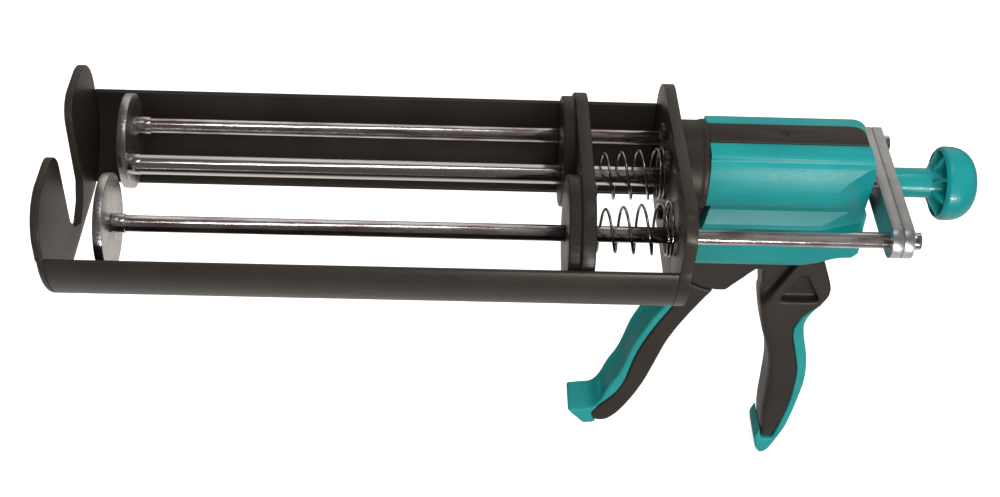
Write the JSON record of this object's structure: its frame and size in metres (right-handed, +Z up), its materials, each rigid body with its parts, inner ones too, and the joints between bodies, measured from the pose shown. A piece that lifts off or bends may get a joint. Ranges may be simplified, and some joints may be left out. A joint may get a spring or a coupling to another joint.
{
  "type": "dual-cartridge caulking gun",
  "caption": "Hand caulking gun for side-by-side two-part cartridges: open cradle, ratcheting drive rod with pusher discs, sprung cartridge plate and trigger handle.",
  "frame": {"origin": "midway between the two cartridge axes, on the inner face of the front plate, in the middle of the outlet notch", "axes": "+X runs back along the rods from the nozzle end to the knob, +Z up away from the handle, +Y to the side that the guide rod pair is on"},
  "size_m": [0.3656, 0.1068, 0.1884],
  "materials": {
    "frame_paint": "satin black-brown powder coat",
    "body_black": "fine satin moulded nylon, near black",
    "teal_shell": "teal moulded plastic, finely textured",
    "teal_grip": "teal soft-touch rubber",
    "teal_knob": "teal moulded plastic, satin",
    "rod_steel": "bright drawn and zinc-plated steel",
    "zinc_plate": "satin zinc-plated steel",
    "spring_steel": "bright spring wire",
    "plain_steel": "hardened plain steel",
    "screw_steel": "zinc-plated screws",
    "bronze": "sintered bronze",
    "bush_black": "black nylon"
  },
  "bodies": {
    "frame": {"front_plate": "frame_paint", "rear_plate": "frame_paint", "near_rail": "frame_paint", "far_rail": "frame_paint", "handle_frame": "body_black", "top_strip": "body_black", "near_cover": "teal_shell", "far_cover": "teal_shell", "cover_screws": "screw_steel", "palm_pad": "teal_grip", "neck_screws": "screw_steel", "front_bush": "bronze", "rear_bush": "bronze", "rod_bushes": "bush_black", "trigger_pin": "screw_steel", "release_pin": "screw_steel", "drive_rod_spring": "spring_steel", "near_rod_spring": "spring_steel", "drive_spring": "spring_steel", "lock_spring": "spring_steel"},
    "pusher": {"drive_rod": "rod_steel", "near_rod": "rod_steel", "far_rod": "rod_steel", "near_disc": "zinc_plate", "far_disc": "zinc_plate", "disc_screws": "screw_steel", "link_front": "zinc_plate", "link_rear": "zinc_plate", "knob": "teal_knob"},
    "clamp": {"cartridge_plate": "body_black"},
    "trigger": {"trigger_lever": "body_black", "trigger_pad": "teal_grip"},
    "drive": {"drive_plates": "plain_steel"},
    "release": {"lock_plate": "plain_steel", "release_lever": "teal_shell"}
  },
  "joints": [
    {"name": "pusher_slide", "type": "slide", "parent": "frame", "child": "pusher", "axis": [1, 0, 0], "range_m": [-0.0025, 0.168]},
    {"name": "clamp_slide", "type": "slide", "parent": "frame", "child": "clamp", "axis": [1, 0, 0], "range_m": [0, 0.018], "stiffness_N_per_m": 700, "springref_m": -0.004, "deforming": ["drive_rod_spring", "near_rod_spring"]},
    {"name": "trigger_pull", "type": "hinge", "parent": "frame", "child": "trigger", "pos_m": [0.266, 0.0106, -0.0295], "axis": [0, -1, 0], "range_deg": [0, 25], "stiffness_Nm_per_rad": 0.6, "springref_deg": -14.32, "deforming": ["drive_spring"]},
    {"name": "drive_stroke", "type": "slide", "parent": "frame", "child": "drive", "axis": [-1, 0, 0], "range_m": [0, 0.0085]},
    {"name": "release_tilt", "type": "hinge", "parent": "frame", "child": "release", "pos_m": [0.306, 0.0106, -0.017], "axis": [0, 1, 0], "range_deg": [0, 7], "stiffness_Nm_per_rad": 0.3, "springref_deg": -11.46, "deforming": ["lock_spring"]}
  ],
  "couplings": [
    {"joint": "drive_stroke", "follows": "trigger_pull", "m_per_rad": 0.0191}
  ]
}
